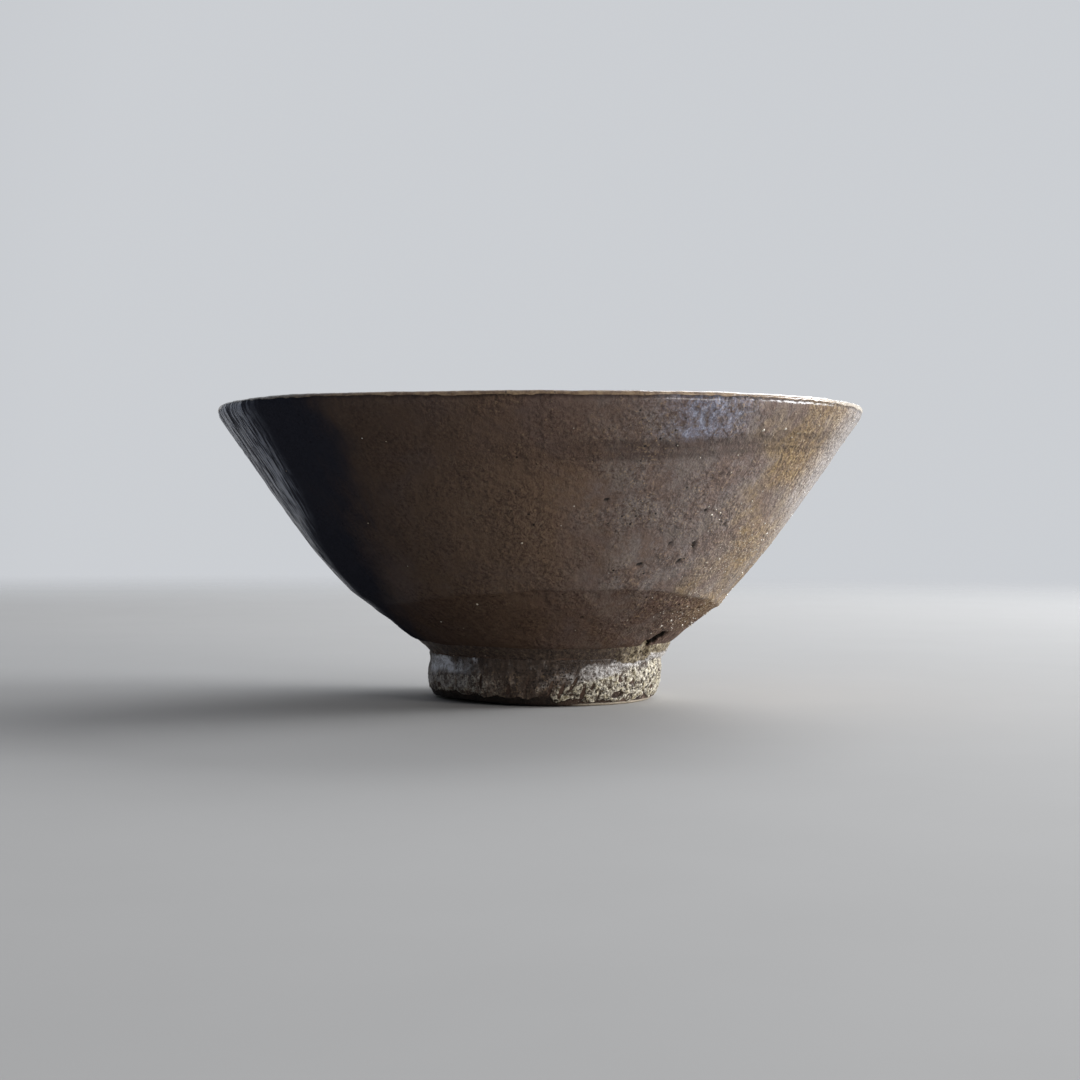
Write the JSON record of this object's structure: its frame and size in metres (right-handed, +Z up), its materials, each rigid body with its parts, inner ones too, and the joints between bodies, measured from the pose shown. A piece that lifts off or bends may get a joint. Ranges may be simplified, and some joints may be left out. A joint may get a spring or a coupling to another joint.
{
  "type": "tea bowl",
  "caption": "Wide flaring stoneware tea bowl with a thick dark coat, a pale lip and a narrow foot ring whose coat has crawled into islands.",
  "frame": {"origin": "on the table, under the middle of the lip", "axes": "+Z up along the bowl's axis; the foot ring's axis is 1.2 mm off it, along +X, and the bowl is seen along +Y"},
  "size_m": [0.151, 0.151, 0.0683],
  "materials": {
    "fired_clay": "unglazed iron-bearing stoneware, matt and gritty",
    "slip": "fine fired slip, matt",
    "coil_clay": "smoothed stoneware, thinly coated, satin",
    "outer_glaze": "dark brown to blue-black, satin gloss, pitted and speckled",
    "lip_glaze": "thin tan coat where it ran off the lip, satin gloss",
    "inner_glaze": "dark brown, glossier than the outside, finely crazed",
    "foot_glaze": "thick cream coat, crawled and pitted, half matt",
    "feldspar": "half melted grains, off-white, glossy"
  },
  "bodies": {
    "root": {"bowl_wall": "fired_clay", "foot_ring": "fired_clay", "joint_slip": "slip", "luting_coil": "coil_clay", "outer_glaze": "outer_glaze", "lip_glaze": "lip_glaze", "inner_glaze": "inner_glaze", "foot_glaze": "foot_glaze", "stone_grains": "feldspar"}
  },
  "joints": []
}
